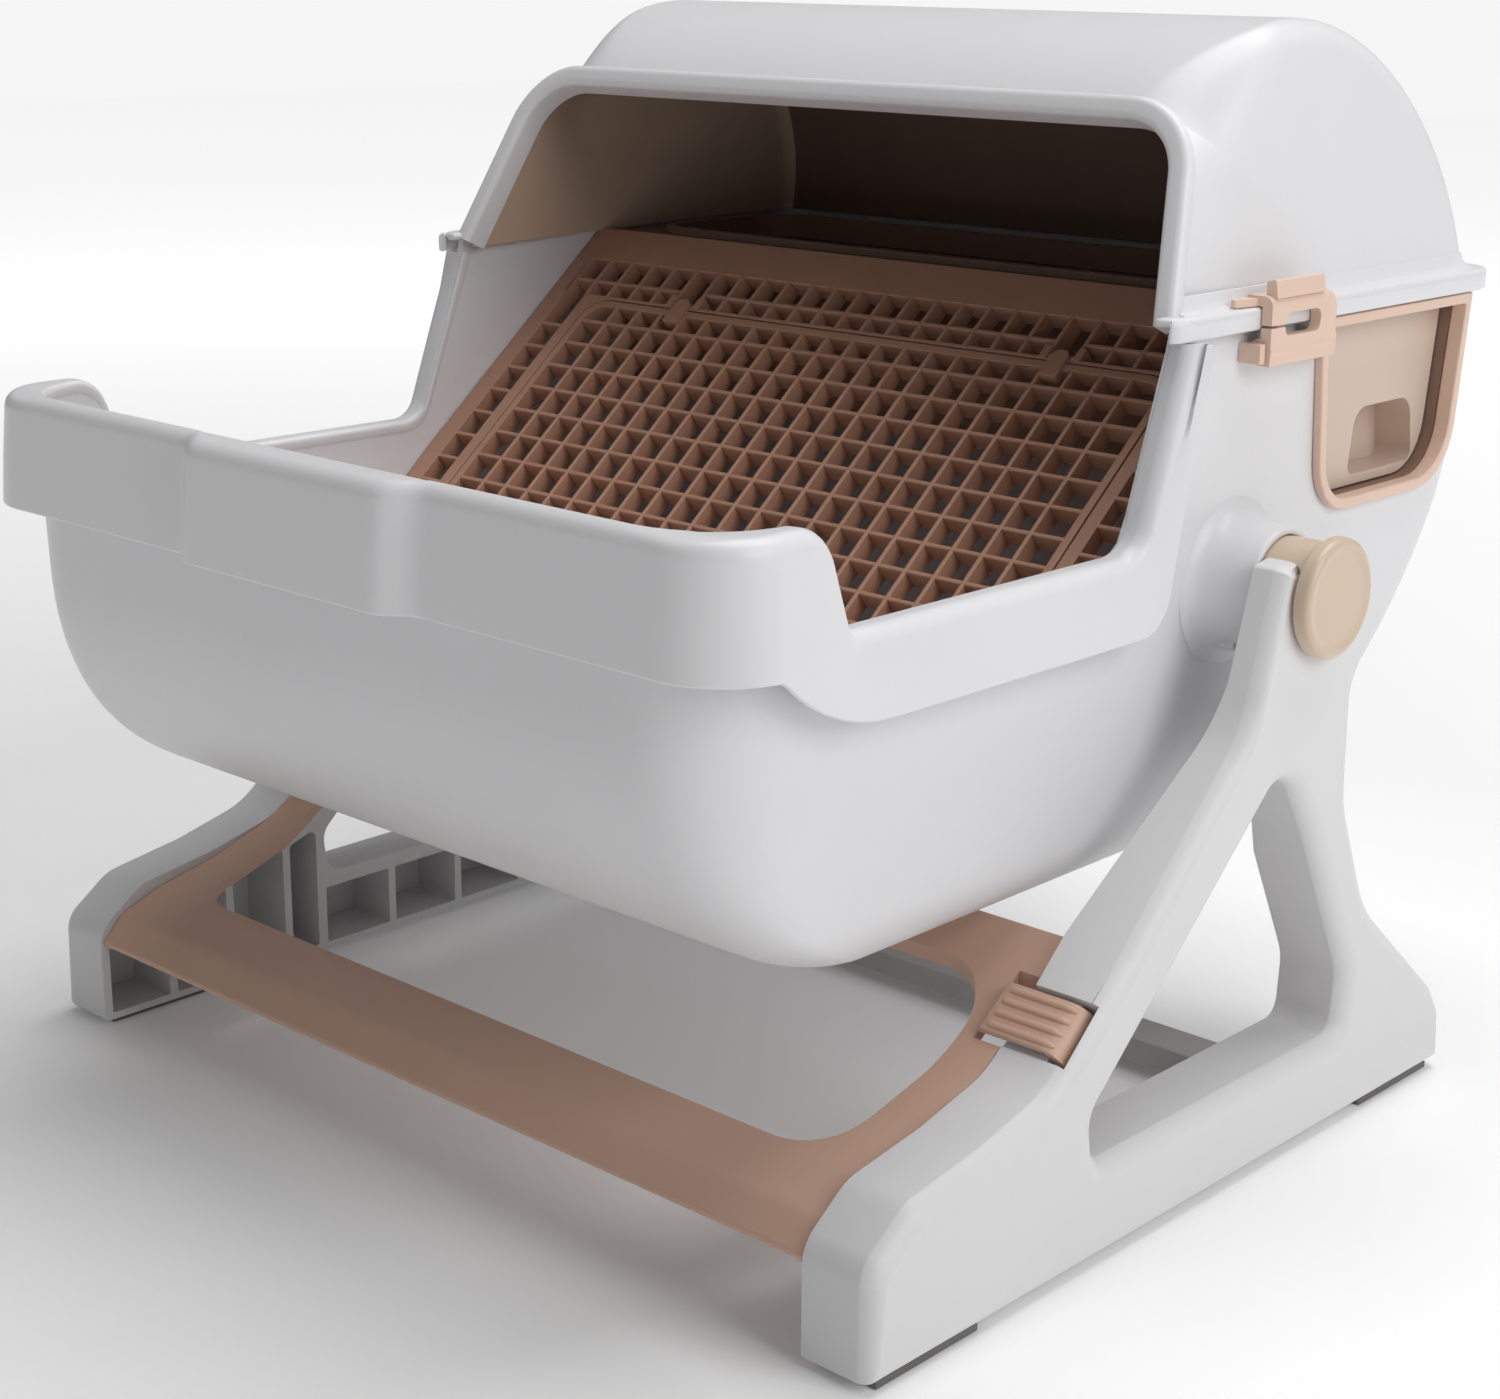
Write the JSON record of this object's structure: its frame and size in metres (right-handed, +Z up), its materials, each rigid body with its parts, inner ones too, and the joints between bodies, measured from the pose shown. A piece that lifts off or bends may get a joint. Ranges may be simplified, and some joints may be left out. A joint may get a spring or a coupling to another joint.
{
  "type": "hooded litter box",
  "caption": "Hooded cat litter box: a barrel-hooded drum with an inner sieve and waste drawer rolls on two pivot pins in an A-shaped stand.",
  "frame": {"origin": "centre of the footprint on the floor, under the foot pads", "axes": "+X to the side the waste drawer opens towards, -Y to the entrance, +Z up"},
  "size_m": [0.486, 0.4844, 0.4309],
  "materials": {
    "shell_white": "cool white semi-gloss moulded plastic",
    "frame_beige": "pinkish beige satin moulded plastic",
    "crossbar_grey": "grey-white satin moulded plastic",
    "pad_rubber": "soft matt rubber",
    "sieve_brown": "warm brown satin moulded plastic",
    "pin_steel": "plain steel wire",
    "housing_brown": "dark warm brown satin plastic",
    "drawer_tan": "tan semi-gloss moulded plastic",
    "knob_tan": "light tan semi-gloss moulded plastic"
  },
  "bodies": {
    "stand": {"side_support_right": "shell_white", "side_support_left": "shell_white", "base_frame": "frame_beige", "rear_crossbar": "crossbar_grey", "foot_pads": "pad_rubber"},
    "drum": {"tub": "shell_white", "hood": "shell_white", "sieve_panel": "sieve_brown", "flap_hinge_pins": "pin_steel", "drawer_housing": "housing_brown", "drawer_bezel": "frame_beige", "pivot_pin_right": "knob_tan", "pivot_pin_left": "knob_tan", "clip_pin_right": "frame_beige", "clip_pin_left": "frame_beige"},
    "flap": {"sieve_flap": "sieve_brown"},
    "drawer": {"waste_drawer": "drawer_tan", "drawer_front": "drawer_tan"},
    "clip_right": {"hood_clip_right": "frame_beige"},
    "clip_left": {"hood_clip_left": "frame_beige"},
    "latch_right": {"latch_right": "frame_beige"},
    "latch_left": {"latch_left": "frame_beige"}
  },
  "joints": [
    {"name": "drum_roll", "type": "hinge", "parent": "stand", "child": "drum", "pos_m": [0, 0.05725, 0.227], "axis": [1, 0, 0], "range_deg": [-100, 0]},
    {"name": "flap_swing", "type": "hinge", "parent": "drum", "child": "flap", "pos_m": [0, 0.06776, 0.2995], "axis": [-1, 0, 0], "range_deg": [0, 50]},
    {"name": "drawer_slide", "type": "slide", "parent": "drum", "child": "drawer", "axis": [1, 0, 0], "range_m": [0, 0.16]},
    {"name": "clip_right_swing", "type": "hinge", "parent": "drum", "child": "clip_right", "pos_m": [0.2016, 0.07975, 0.3135], "axis": [0, 1, 0], "range_deg": [0, 60]},
    {"name": "clip_left_swing", "type": "hinge", "parent": "drum", "child": "clip_left", "pos_m": [-0.2016, 0.07975, 0.3135], "axis": [0, -1, 0], "range_deg": [0, 60]},
    {"name": "latch_right_flex", "type": "hinge", "parent": "stand", "child": "latch_right", "pos_m": [0.1937, -0.08099, 0.0897], "axis": [0, -0.8087, -0.5882], "range_deg": [0, 8], "stiffness_Nm_per_rad": 0.6},
    {"name": "latch_left_flex", "type": "hinge", "parent": "stand", "child": "latch_left", "pos_m": [-0.1937, -0.08099, 0.0897], "axis": [0, 0.8087, 0.5882], "range_deg": [0, 8], "stiffness_Nm_per_rad": 0.6}
  ]
}
